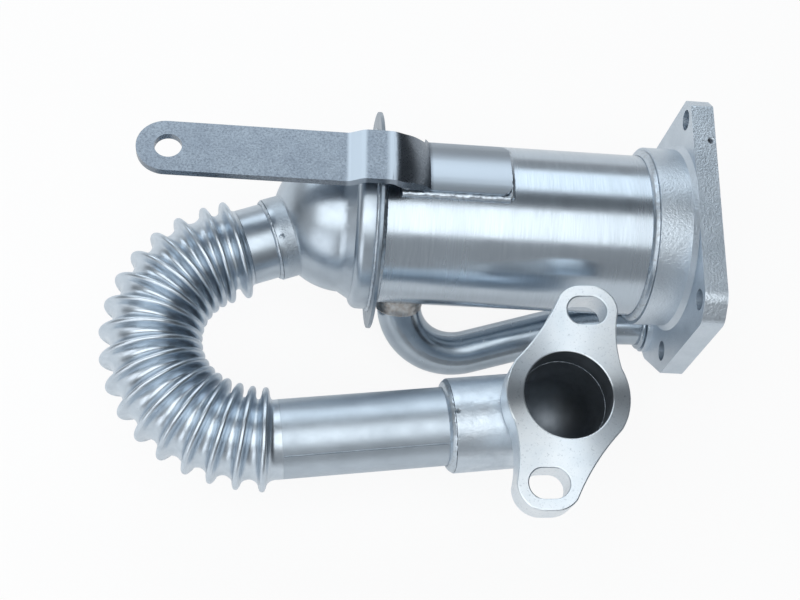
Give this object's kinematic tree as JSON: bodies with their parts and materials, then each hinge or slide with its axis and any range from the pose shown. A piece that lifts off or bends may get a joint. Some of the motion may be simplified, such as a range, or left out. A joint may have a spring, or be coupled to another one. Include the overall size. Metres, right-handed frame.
{
  "type": "egr cooler",
  "caption": "Exhaust gas cooler: round jacket with an inner tube bundle, a bellows bend to an oval gas flange, a square end flange, a coolant pipe and a mounting strap.",
  "frame": {"origin": "centre of the gas port in the square flange's mounting face", "axes": "+X along the jacket and out of the square flange's mounting face; +Z the way the oval flange faces; +Y across the jacket, away from the oval flange"},
  "size_m": [0.1945, 0.1398, 0.0836],
  "materials": {
    "cast_steel": "cast stainless steel, fine grain, faces machined",
    "jacket_steel": "drawn stainless steel, brushed round the tube",
    "pressed_steel": "pressed stainless steel, satin",
    "bellows_steel": "thin stainless steel, satin",
    "pipe_steel": "drawn stainless steel, smooth",
    "elbow_steel": "cast stainless steel, satin",
    "machined_steel": "stainless steel, finely machined",
    "strap_steel": "steel strip, dull grey with fine speckle",
    "tube_steel": "plain stainless steel",
    "weld": "weld bead, slightly tinted by heat",
    "braze": "braze fillet, brownish"
  },
  "bodies": {
    "root": {"square_flange": "cast_steel", "shell": "jacket_steel", "inlet_header_plate": "jacket_steel", "outlet_tube_sheet": "tube_steel", "inlet_dome": "pressed_steel", "neck_pipe": "pressed_steel", "bellows": "bellows_steel", "lower_pipe": "pipe_steel", "elbow": "elbow_steel", "oval_flange": "machined_steel", "coolant_pipe": "pipe_steel", "coolant_nozzle_braze": "braze", "mounting_strap": "strap_steel", "collar_weld": "weld", "header_weld": "weld", "dome_weld": "weld", "cuff_weld": "weld", "socket_weld": "weld", "oval_weld": "weld", "strap_weld": "weld", "gas_tube_01": "tube_steel", "gas_tube_02": "tube_steel", "gas_tube_03": "tube_steel", "gas_tube_04": "tube_steel", "gas_tube_05": "tube_steel", "gas_tube_06": "tube_steel", "gas_tube_07": "tube_steel", "gas_tube_08": "tube_steel", "gas_tube_09": "tube_steel", "gas_tube_10": "tube_steel", "gas_tube_11": "tube_steel", "gas_tube_12": "tube_steel", "gas_tube_13": "tube_steel", "gas_tube_14": "tube_steel", "gas_tube_15": "tube_steel", "gas_tube_16": "tube_steel", "gas_tube_17": "tube_steel", "gas_tube_18": "tube_steel", "gas_tube_19": "tube_steel", "baffle_1": "tube_steel", "baffle_2": "tube_steel", "baffle_3": "tube_steel"}
  },
  "joints": []
}
